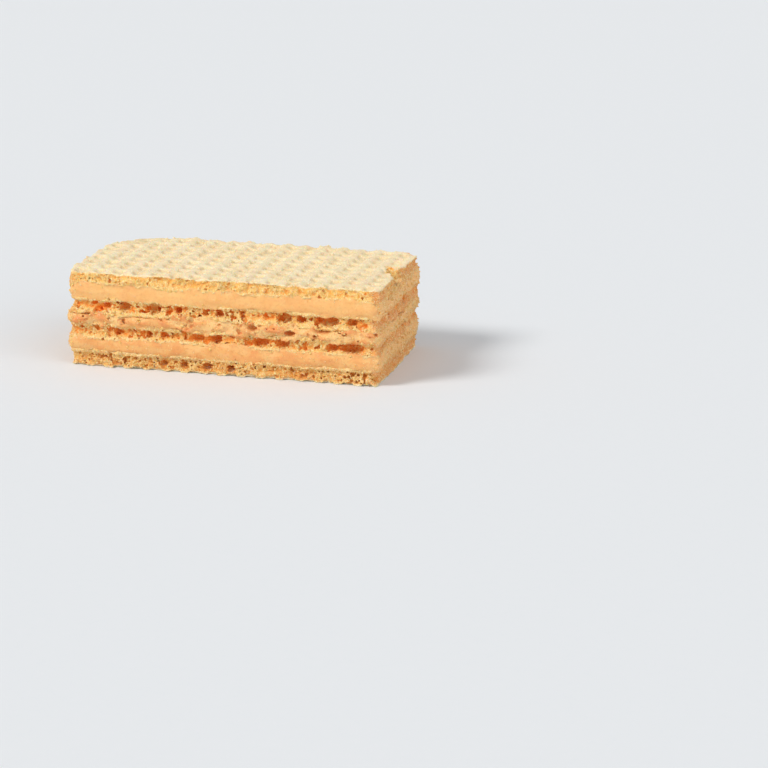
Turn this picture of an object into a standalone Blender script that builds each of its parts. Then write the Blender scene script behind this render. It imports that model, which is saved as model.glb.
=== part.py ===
"""A layered wafer cookie: four baked wafer sheets with three cream fillings between them.

Metres, +Z up. The origin is under the middle of the cookie, +X runs along its long side,
and the side with the open crumb faces -Y. Each layer is one closed solid.
"""
import math
import random

import bmesh
import bpy
from mathutils import Matrix, Vector, noise

MM = 0.001

# The whole cookie
LENGTH = 50.0 * MM
WIDTH = 29.0 * MM
GAP = 0.3 * MM                 # clearance between two layers
SEED = 7

# The layers from the bottom up: name, share of the height, how far the sides stand out
# from a box of the full length and width before the cut's waver is added
LAYERS = (
    ("wafer_1", 2.45 * MM, -0.75 * MM),
    ("cream_1", 2.20 * MM, -0.60 * MM),
    ("wafer_2", 2.00 * MM, -0.70 * MM),
    ("cream_2", 2.10 * MM, -0.50 * MM),
    ("wafer_3", 1.90 * MM, -0.70 * MM),
    ("cream_3", 2.45 * MM, -0.50 * MM),
    ("wafer_4", 2.00 * MM, -0.45 * MM),
)
HEIGHT = sum(share for _, share, _ in LAYERS)

# Corners in plan, as a radius: most are only rubbed, two of the upper ones are worn away
CORNER_RADIUS = 1.4 * MM
WORN_CORNERS = {
    "wafer_4": {"back_left": 6.5 * MM, "back_right": 3.2 * MM},
    "cream_3": {"back_left": 4.0 * MM, "back_right": 2.4 * MM},
}

# The sides: facets round the outline, and how rough each kind of layer is
COLUMN = 1.95 * MM             # width of one facet
WAVE_LENGTH = 9.0 * MM         # slow waver of the cut
WAVE = 0.45 * MM
CRUMB_LENGTH = 1.3 * MM        # quick relief of the broken crumb
WAFER_CRUMB = 0.35 * MM
CREAM_CRUMB = 0.12 * MM
WAFER_RECESS = 0.40 * MM       # the soft middle of a sheet sits back from its two skins
CREAM_BULGE = 0.20 * MM        # pressed cream swells out

# The waffle grid pressed into the two outer faces
PITCH = 3.02 * MM
CELL_MOUTH = 2.0 * MM
CELL_FLOOR = 1.1 * MM
CELL_DEPTH = 0.55 * MM
GRID_X = -19.6 * MM            # a cell's middle on the long axis, top and bottom alike
UPPER_GRID_Y = -0.6 * MM       # a cell's middle on the short axis: a rib runs along the front edge
LOWER_GRID_Y = 0.9 * MM        # below, the cut runs through the cells and leaves a scalloped edge

# Damage to the top sheet: a chip out of the right end and a nick in the front edge
CHIP_TIP = 22.3 * MM           # how far in the chip reaches, measured along X
CHIP_BASE = 26.6 * MM
CHIP_HALF_WIDTH = 7.8 * MM
NICK = (3.7 * MM, 1.0 * MM)    # place along X, radius

# Open pits in the crumb of the front side: place along X, half width and half height
PITS = {
    "wafer_3": (
        (-18.4, 0.9, 0.5), (-15.5, 1.2, 0.8), (-10.7, 1.3, 0.9), (-6.9, 0.7, 0.5), (-2.6, 0.8, 0.6),
        (-0.4, 0.9, 0.6), (3.2, 0.6, 0.5), (9.7, 1.3, 0.9), (12.4, 1.0, 0.6), (16.4, 2.1, 0.7),
        (20.2, 0.9, 0.7),
    ),
    "wafer_2": (
        (-16.6, 0.7, 0.5), (-11.6, 0.7, 0.5), (-9.2, 0.9, 0.5), (-4.0, 1.4, 0.6), (-1.0, 1.2, 0.6),
        (6.0, 1.5, 0.6), (9.5, 1.3, 0.7), (17.2, 1.2, 0.6), (20.4, 1.7, 0.8),
    ),
    "wafer_1": (
        (-9.4, 0.8, 0.5), (-6.0, 0.9, 0.5), (-2.4, 1.1, 0.6), (1.3, 0.9, 0.6),
    ),
}
PIT_DEPTH = 1.3 * MM
WIDE_PIT = 1.4 * MM            # from this half width on, a pit gets finer facets
HIDDEN_PITS = {"wafer_3": 9, "wafer_2": 9}    # pits on the back and the two ends, by chance

# Tears in the middle cream: place along X, height above the layer's middle, half sizes
TEARS = ((-15.4, -0.2, 1.0, 0.25), (4.9, 0.1, 1.2, 0.5), (10.8, -0.1, 1.3, 0.45), (15.9, 0.5, 1.6, 0.6))

WAFER_COLOUR = (0.86, 0.68, 0.42, 1.0)
CREAM_COLOUR = (0.90, 0.55, 0.22, 1.0)


def clear_scene():
    """Start from an empty file."""
    for item in list(bpy.data.objects):
        bpy.data.objects.remove(item, do_unlink=True)


def new_collection(name):
    """Make a collection under the scene."""
    collection = bpy.data.collections.new(name)
    bpy.context.scene.collection.children.link(collection)
    return collection


def make_material(name, colour, roughness):
    """Make a plain Principled material."""
    material = bpy.data.materials.new(name)
    material.use_nodes = True
    shader = material.node_tree.nodes["Principled BSDF"]
    shader.inputs["Base Color"].default_value = colour
    shader.inputs["Roughness"].default_value = roughness
    shader.inputs["Metallic"].default_value = 0.0
    return material


def make_object(name, bm, collection):
    """Turn a bmesh into an object in a collection."""
    mesh = bpy.data.meshes.new(name)
    bm.to_mesh(mesh)
    bm.free()
    item = bpy.data.objects.new(name, mesh)
    collection.objects.link(item)
    return item


def turn(bm, degrees, axis):
    """Turn a whole bmesh about one of its axes."""
    bmesh.ops.rotate(bm, verts=bm.verts, matrix=Matrix.Rotation(math.radians(degrees), 3, axis))


def slice_across(bm, axis, extent, parts):
    """Cut a block with evenly spaced planes across one axis."""
    normal = Vector((0.0, 0.0, 0.0))
    normal[axis] = 1.0
    for step in range(1, parts):
        place = normal * (extent * (step / parts - 0.5))
        everything = bm.verts[:] + bm.edges[:] + bm.faces[:]
        bmesh.ops.bisect_plane(bm, geom=everything, plane_co=place, plane_no=normal)


def round_corner(point, radius_of):
    """Pull a point of the square outline onto its corner's arc."""
    side = "left" if point.x < 0 else "right"
    face = "front" if point.y < 0 else "back"
    radius = radius_of.get(f"{face}_{side}", CORNER_RADIUS)
    centre_x = math.copysign(LENGTH / 2 - radius, point.x)
    centre_y = math.copysign(WIDTH / 2 - radius, point.y)
    offset = Vector((point.x - centre_x, point.y - centre_y, 0.0))
    if offset.x * point.x > 0 and offset.y * point.y > 0:
        offset.normalize()
        point.x = centre_x + offset.x * radius
        point.y = centre_y + offset.y * radius


def side_shift(point, height_share, stand_out, is_wafer, shift):
    """How far a point of the side stands out from the plain outline."""
    slow = noise.noise(point / WAVE_LENGTH + shift)
    quick = noise.noise(point / CRUMB_LENGTH + shift)
    middle = 1.0 - abs(2.0 * height_share - 1.0)
    if is_wafer:
        profile = -WAFER_RECESS * middle + WAFER_CRUMB * quick
    else:
        profile = CREAM_BULGE * middle + CREAM_CRUMB * quick
    return stand_out + WAVE * slow + profile


def make_layer(name, bottom, top, stand_out, shift, collection):
    """Make one layer: a sliced block whose sides are rounded and roughened."""
    is_wafer = name.startswith("wafer")
    thickness = top - bottom
    bm = bmesh.new()
    bmesh.ops.create_cube(bm, size=1.0)
    bmesh.ops.scale(bm, vec=(LENGTH, WIDTH, thickness), verts=bm.verts)
    slice_across(bm, 0, LENGTH, round(LENGTH / COLUMN))
    slice_across(bm, 1, WIDTH, round(WIDTH / COLUMN))
    slice_across(bm, 2, thickness, 3 if is_wafer else 2)

    for normal_z in (-1.0, 1.0):
        flat = [face for face in bm.faces if face.normal.z * normal_z > 0.9]
        bmesh.ops.dissolve_faces(bm, faces=flat, use_verts=True)

    radius_of = WORN_CORNERS.get(name, {})
    for vert in bm.verts:
        height_share = vert.co.z / thickness + 0.5
        outward = Vector((round(vert.co.x / LENGTH * 1.001), round(vert.co.y / WIDTH * 1.001), 0.0))
        outward.normalize()
        round_corner(vert.co, radius_of)
        vert.co += outward * side_shift(vert.co, height_share, stand_out, is_wafer, shift)
        vert.co.z += (bottom + top) / 2
    return make_object(name, bm, collection)


def make_cells(name, grid_y, floor_z, direction, collection):
    """Make the grid of tapered blocks that presses the waffle cells into a face."""
    spare = 0.3 * MM                       # how far the blocks stand clear of the face
    slope = (CELL_MOUTH - CELL_FLOOR) / 2 / CELL_DEPTH
    half_floor = CELL_FLOOR / 2
    half_mouth = CELL_MOUTH / 2 + slope * spare
    height = CELL_DEPTH + spare
    bm = bmesh.new()
    bmesh.ops.create_cone(
        bm, cap_ends=True, segments=4, depth=height,
        radius1=half_floor * math.sqrt(2), radius2=half_mouth * math.sqrt(2),
    )
    turn(bm, 45.0, "Z")
    if direction < 0:
        turn(bm, 180.0, "X")
    cells = make_object(name, bm, collection)
    first_x = GRID_X - PITCH * math.ceil((LENGTH / 2 + GRID_X) / PITCH)
    first_y = grid_y - PITCH * math.ceil((WIDTH / 2 + grid_y) / PITCH)
    cells.location = (first_x, first_y, floor_z + direction * height / 2)
    for axis, extent, first in ((0, LENGTH, first_x), (1, WIDTH, first_y)):
        array = cells.modifiers.new("repeat", "ARRAY")
        array.use_relative_offset = False
        array.use_constant_offset = True
        array.constant_offset_displace = [PITCH if axis == place else 0.0 for place in range(3)]
        array.count = math.ceil((extent / 2 - first) / PITCH) + 1
    return cells


def make_pit(place, sizes, collection):
    """Make one flattened ball that hollows out a pit."""
    bm = bmesh.new()
    bmesh.ops.create_icosphere(bm, subdivisions=2 if max(sizes) > WIDE_PIT else 1, radius=1.0)
    bmesh.ops.scale(bm, vec=sizes, verts=bm.verts)
    pit = make_object("pit", bm, collection)
    pit.location = place
    return pit


def subtract(item, cutter=None, collection=None):
    """Cut an object, or everything in a collection, out of a layer."""
    boolean = item.modifiers.new("cut", "BOOLEAN")
    boolean.operation = "DIFFERENCE"
    if collection is None:
        boolean.object = cutter
    else:
        boolean.operand_type = "COLLECTION"
        boolean.collection = collection


def add_front_pits(layer, middle, stand_out, collection):
    """Hollow the pits of the front side, and the tears in the middle cream."""
    front = -(WIDTH / 2 + stand_out) + WAFER_RECESS
    for along, half_width, half_height in PITS.get(layer.name, ()):
        sizes = (half_width * MM, PIT_DEPTH, half_height * MM)
        make_pit((along * MM, front, middle), sizes, collection)
    if layer.name == "cream_2":
        for along, rise, half_width, half_height in TEARS:
            sizes = (half_width * MM, PIT_DEPTH, half_height * MM)
            make_pit((along * MM, front - WAFER_RECESS, middle + rise * MM), sizes, collection)


def add_hidden_pits(layer, middle, stand_out, draw, collection):
    """Hollow chance pits on the back and the two ends, evenly spread with some jitter."""
    count = HIDDEN_PITS.get(layer.name, 0)
    run = LENGTH + 2 * WIDTH
    for index in range(count):
        travel = run * (index + 0.5 + draw.uniform(-0.25, 0.25)) / count
        half_width = draw.uniform(0.7, 1.2) * MM
        half_height = draw.uniform(0.45, 0.7) * MM
        edge_x = LENGTH / 2 + stand_out - WAFER_RECESS
        edge_y = WIDTH / 2 + stand_out - WAFER_RECESS
        if travel < WIDTH:
            place = (edge_x, travel - WIDTH / 2, middle)
            sizes = (PIT_DEPTH, half_width, half_height)
        elif travel < WIDTH + LENGTH:
            place = (travel - WIDTH - LENGTH / 2, edge_y, middle)
            sizes = (half_width, PIT_DEPTH, half_height)
        else:
            place = (-edge_x, travel - WIDTH - LENGTH - WIDTH / 2, middle)
            sizes = (PIT_DEPTH, half_width, half_height)
        make_pit(place, sizes, collection)


def chip_top_sheet(layer, cutters):
    """Break the chip out of the right end of the top sheet and nick its front edge."""
    third = (CHIP_BASE - CHIP_TIP) / 3
    bm = bmesh.new()
    bmesh.ops.create_cone(bm, cap_ends=True, segments=3, radius1=1.0, radius2=1.0, depth=1.0)
    turn(bm, 90.0, "Z")
    width = CHIP_HALF_WIDTH / math.cos(math.radians(30.0))
    bmesh.ops.scale(bm, vec=(2 * third, width, 3 * LAYERS[-1][1]), verts=bm.verts)
    chip = make_object("chip", bm, cutters)
    chip.location = (CHIP_TIP + 2 * third, 0.0, HEIGHT)
    subtract(layer, chip)
    along, radius = NICK
    nick = make_pit((along, -WIDTH / 2, HEIGHT), (radius, radius, radius), cutters)
    subtract(layer, nick)


def centre_in_plan(items):
    """Move all layers together, so that the cookie's outline is centred on the origin."""
    bpy.context.view_layer.update()
    points = [item.matrix_world @ Vector(corner) for item in items for corner in item.bound_box]
    for axis in (0, 1):
        lowest = min(point[axis] for point in points)
        highest = max(point[axis] for point in points)
        for item in items:
            item.location[axis] -= (lowest + highest) / 2


def build():
    """Stack the layers from the bottom up."""
    clear_scene()
    cookie = new_collection("wafer_cookie")
    cutters = new_collection("cutters")
    wafer = make_material("wafer", WAFER_COLOUR, 0.8)
    cream = make_material("cream", CREAM_COLOUR, 0.55)
    draw = random.Random(SEED)
    layers = []
    level = 0.0
    for index, (name, share, stand_out) in enumerate(LAYERS):
        bottom = level + (GAP / 2 if index > 0 else 0.0)
        top = level + share - (GAP / 2 if index < len(LAYERS) - 1 else 0.0)
        shift = Vector((draw.uniform(0, 50), draw.uniform(0, 50), draw.uniform(0, 50)))
        layer = make_layer(name, bottom, top, stand_out, shift, cookie)
        layer.data.materials.append(wafer if name.startswith("wafer") else cream)
        middle = (bottom + top) / 2
        if name in PITS or name == "cream_2":
            pits = new_collection(f"pits_{name}")
            add_front_pits(layer, middle, stand_out, pits)
            add_hidden_pits(layer, middle, stand_out, draw, pits)
            subtract(layer, collection=pits)
        layers.append(layer)
        level += share

    subtract(layers[0], make_cells("lower_cells", LOWER_GRID_Y, CELL_DEPTH, -1, cutters))
    upper_floor = HEIGHT - CELL_DEPTH
    subtract(layers[-1], make_cells("upper_cells", UPPER_GRID_Y, upper_floor, 1, cutters))
    chip_top_sheet(layers[-1], cutters)
    centre_in_plan(layers)
    for item in bpy.data.objects:
        if item.name not in cookie.objects:
            item.hide_render = True
            item.display_type = "WIRE"


build()
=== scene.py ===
# %% [markdown]
# # A layered wafer cookie
# Four thin sheets of baked wafer batter hold three layers of pressed orange cream. The plain solids of
# the seven layers are ready made and give every size. This lesson gives them what the eye looks for in
# a wafer: air cells broken open along the cut, thin walls between them, cream that was pressed out a
# little and dried, the soft-edged waffle grid, and the crumbs that every wafer carries.

# %% Load the plain solids
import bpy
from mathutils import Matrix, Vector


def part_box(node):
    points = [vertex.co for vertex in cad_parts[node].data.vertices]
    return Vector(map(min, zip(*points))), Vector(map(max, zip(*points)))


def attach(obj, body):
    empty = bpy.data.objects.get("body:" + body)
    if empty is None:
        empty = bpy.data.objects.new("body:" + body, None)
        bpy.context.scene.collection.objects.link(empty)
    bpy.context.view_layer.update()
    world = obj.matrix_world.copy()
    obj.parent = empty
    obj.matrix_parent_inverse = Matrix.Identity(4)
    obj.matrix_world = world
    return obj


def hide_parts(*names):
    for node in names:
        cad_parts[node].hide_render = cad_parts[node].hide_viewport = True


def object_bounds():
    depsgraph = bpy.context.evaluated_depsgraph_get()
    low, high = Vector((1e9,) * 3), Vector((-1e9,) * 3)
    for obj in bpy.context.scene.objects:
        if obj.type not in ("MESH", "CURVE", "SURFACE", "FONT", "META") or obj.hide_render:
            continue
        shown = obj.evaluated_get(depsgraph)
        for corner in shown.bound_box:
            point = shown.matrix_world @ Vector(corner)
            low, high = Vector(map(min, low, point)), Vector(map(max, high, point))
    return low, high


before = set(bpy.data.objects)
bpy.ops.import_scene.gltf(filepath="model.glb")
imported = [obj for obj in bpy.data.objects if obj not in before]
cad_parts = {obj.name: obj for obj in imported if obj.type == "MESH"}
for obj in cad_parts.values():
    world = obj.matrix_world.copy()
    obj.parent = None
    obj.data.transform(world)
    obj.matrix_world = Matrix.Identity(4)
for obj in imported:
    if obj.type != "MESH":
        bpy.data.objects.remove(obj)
cad_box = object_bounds()
print("nodes:", ", ".join(sorted(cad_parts)))
print("size in mm:", [round(1000 * side, 1) for side in cad_box[1] - cad_box[0]])

# %% [markdown]
# ## Working units
# A wafer's details are tenths of a millimetre, so the shapes are worked out in millimetres and turned
# into metres only when a mesh is made. The level of each joint between two layers lies in the middle of
# the small clearance that the plain solids keep.

# %% Sizes read from the solids
import math

import bpy
import numpy as np
import openvdb
from mathutils import Matrix, Vector

MM = 0.001
QUICK_FACTOR = 1.0
STACK = ["wafer_1", "cream_1", "wafer_2", "cream_2", "wafer_3", "cream_3", "wafer_4"]   # bottom to top
SHEETS = STACK[0::2]
CREAMS = STACK[1::2]

half_length = (cad_box[1].x - cad_box[0].x) / 2 / MM
half_width = (cad_box[1].y - cad_box[0].y) / 2 / MM
height = cad_box[1].z / MM
floors = [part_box(name)[0].z / MM for name in STACK]
roofs = [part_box(name)[1].z / MM for name in STACK]
levels = [0.0] + [(low + high) / 2 for low, high in zip(floors[1:], roofs[:-1])] + [height]
print("joints between layers, mm:", [round(level, 2) for level in levels])

# %% [markdown]
# ## A solid as a field of distances
# Modelling thousands of air cells one face at a time would be hopeless, and cutting them with Boolean
# modifiers would take hours. Instead each layer is a block of small cubes (voxels), and every voxel
# holds its distance to the layer's surface: negative inside the food, positive outside. Cutting, joining
# and roughening are then one line of arithmetic each, and the surface is wherever the number is zero.

# %% A block of voxels round one layer
MARGIN = 0.75                              # mm of air kept round a layer
BAND = 1.5                                 # mm, how far from the surface distances are known


class Block:
    """The voxels round one layer, with the places of their middles in millimetres."""

    def __init__(self, low, high, voxel):
        self.voxel = voxel
        self.first = [math.floor(value / voxel) for value in low]
        counts = [math.ceil(top / voxel) - start + 1 for top, start in zip(high, self.first)]
        lines = [voxel * np.arange(start, start + count, dtype=np.float32)
                 for start, count in zip(self.first, counts)]
        self.lines = lines
        self.x = lines[0][:, None, None]
        self.y = lines[1][None, :, None]
        self.z = lines[2][None, None, :]
        self.shape = tuple(counts)

    def window(self, centre, reach):
        """The slices of the voxels within reach of a place, or None where there are none."""
        slices = []
        for axis in range(3):
            start = math.ceil((centre[axis] - reach[axis]) / self.voxel) - self.first[axis]
            stop = math.floor((centre[axis] + reach[axis]) / self.voxel) - self.first[axis] + 1
            start = max(start, 0)
            stop = min(stop, self.shape[axis])
            if start >= stop:
                return None
            slices.append(slice(start, stop))
        return tuple(slices)


# %% [markdown]
# The plain solid of each layer gives the starting distances, so every chip, worn corner and waffle cell
# stays exactly where the solid has it. Its faces towards its neighbours are pushed out past the joint
# first; wavy joints are cut later, the same for both neighbours. A light blur rounds the plain solid's
# facets and sharp edges.

# %% Distances to one plain solid
SPILL = 0.7                                # mm that the faces towards neighbours are pushed out


def solid_triangles(name):
    """A node's points, in millimetres, and its triangles."""
    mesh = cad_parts[name].data
    mesh.calc_loop_triangles()
    points = np.empty(len(mesh.vertices) * 3, np.float32)
    mesh.vertices.foreach_get("co", points)
    corners = np.empty(len(mesh.loop_triangles) * 3, np.int32)
    mesh.loop_triangles.foreach_get("vertices", corners)
    return points.reshape(-1, 3) / MM, corners.reshape(-1, 3).astype(np.uint32)


def blur(field, voxel, size):
    """Smooth a field along each axis with a bell curve of that size, in millimetres."""
    reach = max(1, math.ceil(2 * size / voxel))
    steps = np.arange(-reach, reach + 1)
    weights = np.exp(-0.5 * (steps * voxel / size) ** 2)
    weights = (weights / weights.sum()).astype(np.float32)
    for axis in range(3):
        padding = [(reach, reach) if axis == place else (0, 0) for place in range(3)]
        padded = np.pad(field, padding, mode="edge")
        total = np.zeros_like(field)
        for step, weight in zip(steps, weights):
            keep = [slice(None)] * 3
            keep[axis] = slice(reach + step, reach + step + field.shape[axis])
            total += weight * padded[tuple(keep)]
        field = total
    return field


def solid_distances(name, voxel, rounding):
    """The block of voxels round a node, and the distances to its solid."""
    place = STACK.index(name)
    points, triangles = solid_triangles(name)
    low, high = floors[place], roofs[place]
    third = (high - low) / 3
    if place > 0:
        points[:, 2] -= SPILL * np.clip(1 - (points[:, 2] - low) / third, 0, 1)
    if place < len(STACK) - 1:
        points[:, 2] += SPILL * np.clip(1 - (high - points[:, 2]) / third, 0, 1)
    reach_low = [-half_length - MARGIN, -half_width - MARGIN, levels[place] - MARGIN]
    reach_high = [half_length + MARGIN, half_width + MARGIN, levels[place + 1] + MARGIN]
    block = Block(reach_low, reach_high, voxel)
    grid = openvdb.FloatGrid.createLevelSetFromPolygons(
        points, triangles=triangles, transform=openvdb.createLinearTransform(voxelSize=voxel),
        halfWidth=BAND / voxel,
    )
    field = np.empty(block.shape, np.float32)
    grid.copyToArray(field, ijk=tuple(block.first))
    return block, blur(field, voxel, rounding)


# %% [markdown]
# ## Smooth noise
# Nothing on food is straight. A lattice of random numbers, blended with a bell-shaped spline, gives
# noise of any grain. The lattice is tied to one fixed corner in space, so two layers that ask for the
# same seed get the same waves, and their shared joint fits.

# %% Noise from a random lattice
LATTICE_CORNER = (-40.0, -30.0, -6.0)
LATTICE_END = (40.0, 30.0, 24.0)


def spline_weights(line, corner, end, grain):
    """How much each lattice point counts for each voxel of one line."""
    count = int((end - corner) / grain) + 4
    place = (line - corner) / grain
    first = int(place[0]) - 1
    last = min(int(place[-1]) + 3, count)
    steps = np.abs(place[:, None] - np.arange(first, last)[None, :])
    near = 2 / 3 - steps ** 2 + steps ** 3 / 2
    far = np.clip(2 - steps, 0, None) ** 3 / 6
    return np.where(steps < 1, near, far).astype(np.float32), first, last, count


def noise(lines, grains, seed):
    """Smooth noise with a spread of about 1, on the voxels given by their lines."""
    draw = np.random.default_rng(seed)
    parts = [spline_weights(line, corner, end, grain)
             for line, corner, end, grain in zip(lines, LATTICE_CORNER, LATTICE_END, grains)]
    lattice = draw.standard_normal([part[3] for part in parts]).astype(np.float32)
    lattice = lattice[tuple(slice(part[1], part[2]) for part in parts)]
    for part in parts:
        lattice = np.tensordot(lattice, part[0], axes=(0, 1))
    return 2.6 * lattice


def fade(value, start, end):
    """0 before start, 1 after end, and a smooth step between."""
    share = np.clip((value - start) / (end - start), 0, 1)
    return share * share * (3 - 2 * share)


def smooth_max(a, b, width):
    """The larger of two fields, with the crease between them rounded."""
    gap = np.clip(width - np.abs(a - b), 0, None)
    return np.maximum(a, b) + gap * gap / (4 * width)


# %% [markdown]
# ## The joints between layers
# Cream is pressed into the embossed faces of the sheets, so a joint seen from the side is a wavy line,
# not a ruled one. Each joint has its own waver. Deep inside nobody sees it, so there it runs level and
# costs few triangles. Neighbours overlap by a hair, so that no crack of light shows.

# %% Wavy joints
JOINT_WAVER = [0.0, 0.15, 0.17, 0.32, 0.42, 0.18, 0.20, 0.0]   # mm, bottom to top
JOINT_SHIFT = [0.0, 0.0, 0.0, 0.0, -0.30, 0.0, 0.0, 0.0]       # mm, how far each is pushed up everywhere
JOINT_LEAN = [0.0, 0.30, -0.30, 0.0, 0.0, 0.0, 0.0, 0.0]       # mm more, at the left end
LEAN_START = 4.0                           # mm left of the middle, where the lean begins
JOINT_MOST = 0.65                          # mm that a joint strays from its level at most
LEVEL_FROM, LEVEL_TO = 1.8, 2.6            # mm in from the sides, where a joint turns level
PITCH = 3.02                               # mm from one waffle cell to the next
IMPRINT = 0.08                             # mm, the sheets' inner embossing
OVERLAP = 0.11                             # mm that each layer reaches into its neighbours


def joint_height(place, block):
    """The height of one joint over the block's plan."""
    flat = [block.lines[0], block.lines[1], np.zeros(1, np.float32)]
    slow = noise(flat, (1.6, 1.6, 1.0), seed=100 + place)
    quick = noise(flat, (0.36, 0.36, 1.0), seed=200 + place)
    turn = 2 * math.pi / PITCH
    imprint = np.cos(turn * block.x) * np.cos(turn * block.y)
    waver = JOINT_WAVER[place] * (0.8 * slow + 0.65 * quick)
    waver = waver + JOINT_SHIFT[place] + JOINT_LEAN[place] * fade(-block.x, LEAN_START, half_length)
    waver = np.clip(waver, -JOINT_MOST, JOINT_MOST)
    inward = np.minimum(half_length - np.abs(block.x), half_width - np.abs(block.y))
    return levels[place] + (1 - fade(inward, LEVEL_FROM, LEVEL_TO)) * (waver + IMPRINT * imprint)


def cut_joints(field, block, name):
    """Keep only what lies between a layer's two joints, and a hair more."""
    place = STACK.index(name)
    if place > 0:
        field = np.maximum(field, joint_height(place, block) - OVERLAP - block.z)
    if place < len(STACK) - 1:
        field = np.maximum(field, block.z - joint_height(place + 1, block) - OVERLAP)
    return field


# %% [markdown]
# ## From distances to a mesh
# The surface is pulled out of the voxels where the distance is zero, with larger faces where it is
# flat. Air cells can cut a scrap of wall loose; such scraps are thrown away. The faces that matter least
# are then merged, so that a layer stays within a fixed number of triangles. Each point also keeps some
# numbers, called marks, such as how deep it lies inside the outline. The materials use them later.

# %% Meshing helpers
SCRAP = 200                                # points, the least that a loose body has to be kept


def sample(field, block, points):
    """The values of a field at points, blended between voxels."""
    place = [np.clip(points[:, axis] / block.voxel - block.first[axis], 0, block.shape[axis] - 1.001)
             for axis in range(3)]
    whole = [axis_place.astype(np.int64) for axis_place in place]
    part = [axis_place - axis_whole for axis_place, axis_whole in zip(place, whole)]
    total = np.zeros(len(points), np.float32)
    for corner in range(8):
        step = [(corner >> axis) & 1 for axis in range(3)]
        weight = np.ones(len(points), np.float32)
        for axis in range(3):
            weight *= part[axis] if step[axis] else 1 - part[axis]
        total += weight * field[whole[0] + step[0], whole[1] + step[1], whole[2] + step[2]]
    return total


def drop_scraps(points, faces, smallest):
    """Leave out the small loose bodies of a mesh."""
    label = np.arange(len(points))
    while True:
        lowest = label[faces].min(axis=1)
        fresh = label.copy()
        for corner in range(3):
            np.minimum.at(fresh, faces[:, corner], lowest)
        fresh = fresh[fresh]
        if np.array_equal(fresh, label):
            break
        label = fresh
    size = np.bincount(label, minlength=len(points))
    faces = faces[size[label[faces[:, 0]]] >= smallest]
    used = np.unique(faces)
    place = np.zeros(len(points), np.int64)
    place[used] = np.arange(len(used))
    return points[used], place[faces]


def fill_mesh(name, points, faces):
    """A mesh from points and triangles."""
    mesh = bpy.data.meshes.new(name)
    mesh.vertices.add(len(points))
    mesh.vertices.foreach_set("co", points.astype(np.float32).ravel())
    mesh.loops.add(faces.size)
    mesh.loops.foreach_set("vertex_index", faces.astype(np.int32).ravel())
    mesh.polygons.add(len(faces))
    mesh.polygons.foreach_set("loop_start", np.arange(0, faces.size, 3, dtype=np.int32))
    mesh.update(calc_edges=True)
    return mesh


def thin_out(points, faces, most):
    """Merge the faces that matter least until a mesh has no more triangles than asked."""
    if len(faces) <= most:
        return points, faces
    helper = bpy.data.objects.new("helper", fill_mesh("helper", points, faces))
    bpy.context.scene.collection.objects.link(helper)
    thinning = helper.modifiers.new("thinning", "DECIMATE")
    thinning.ratio = most / len(faces)
    thinned = helper.evaluated_get(bpy.context.evaluated_depsgraph_get()).to_mesh()
    thinned.calc_loop_triangles()
    new_points = np.empty(len(thinned.vertices) * 3, np.float32)
    thinned.vertices.foreach_get("co", new_points)
    new_faces = np.empty(len(thinned.loop_triangles) * 3, np.int32)
    thinned.loop_triangles.foreach_get("vertices", new_faces)
    mesh = helper.data
    bpy.data.objects.remove(helper)
    bpy.data.meshes.remove(mesh)
    return new_points.reshape(-1, 3), new_faces.reshape(-1, 3)


def pull_surface(field, block, adaptivity, most):
    """The mesh where a field is zero: points in millimetres and triangles."""
    limit = 3 * block.voxel
    grid = openvdb.FloatGrid(limit)
    grid.transform = openvdb.createLinearTransform(voxelSize=block.voxel)
    grid.copyFromArray(np.clip(field, -limit, limit), ijk=tuple(block.first), tolerance=0.0)
    points, triangles, quads = grid.convertToPolygons(isovalue=0.0, adaptivity=adaptivity)
    halves = np.concatenate([quads[:, [0, 1, 2]], quads[:, [0, 2, 3]]])
    faces = np.concatenate([triangles, halves]).astype(np.int64)
    points, faces = drop_scraps(points, faces, SCRAP)
    points, faces = thin_out(points, faces, most)
    points[:, 2] = np.clip(points[:, 2], 0.0, None)
    return points, faces


def make_piece(name, points, faces, marks):
    """A smooth-shaded mesh object from points in millimetres, with a number per point for each mark."""
    mesh = fill_mesh(name, points * MM, faces)
    mesh.validate()
    mesh.shade_smooth()
    for mark, values in marks.items():
        layer = mesh.attributes.new(mark, "FLOAT", "POINT")
        layer.data.foreach_set("value", values.astype(np.float32))
    piece = bpy.data.objects.new(name, mesh)
    bpy.context.scene.collection.objects.link(piece)
    return piece


# %% [markdown]
# ## Sides that meet
# The wire that cuts a block of wafers passes through all layers in one stroke, so two neighbours are
# flush where they touch, however much each swells or shrinks further away. A plan of every layer's
# outline comes first. Then both sides are drawn to one line close to a joint, nearer to the cream's.

# %% Outlines in plan
PLAN_VOXEL = 0.3                           # mm, plenty for an outline
PLAN_ROUNDING = 0.15                       # mm
JOINT_REACH = 0.65                         # mm, how far above and below a joint the sides are drawn
SHEET_GIVES, CREAM_GIVES = 0.65, 0.35      # the share of the gap between them that each side moves


def outline_plan(field):
    """How far each place in plan lies from the outline: the pits in a side don't show in it."""
    return field.min(axis=2, keepdims=True)


plans = {}
for name in STACK:
    plan_block, plan_field = solid_distances(name, PLAN_VOXEL, PLAN_ROUNDING)
    plans[name] = (plan_block, outline_plan(plan_field))


def neighbour_outline(name, block):
    """Another layer's outline over this block's plan."""
    plan_block, plan = plans[name]
    low = plan_block.lines[2][:1]
    grid = np.meshgrid(block.lines[0], block.lines[1], low, indexing="ij")
    places = np.stack(grid, -1).reshape(-1, 3)
    values = sample(np.broadcast_to(plan, plan_block.shape), plan_block, places)
    return values.reshape(len(block.lines[0]), len(block.lines[1]), 1)


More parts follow.
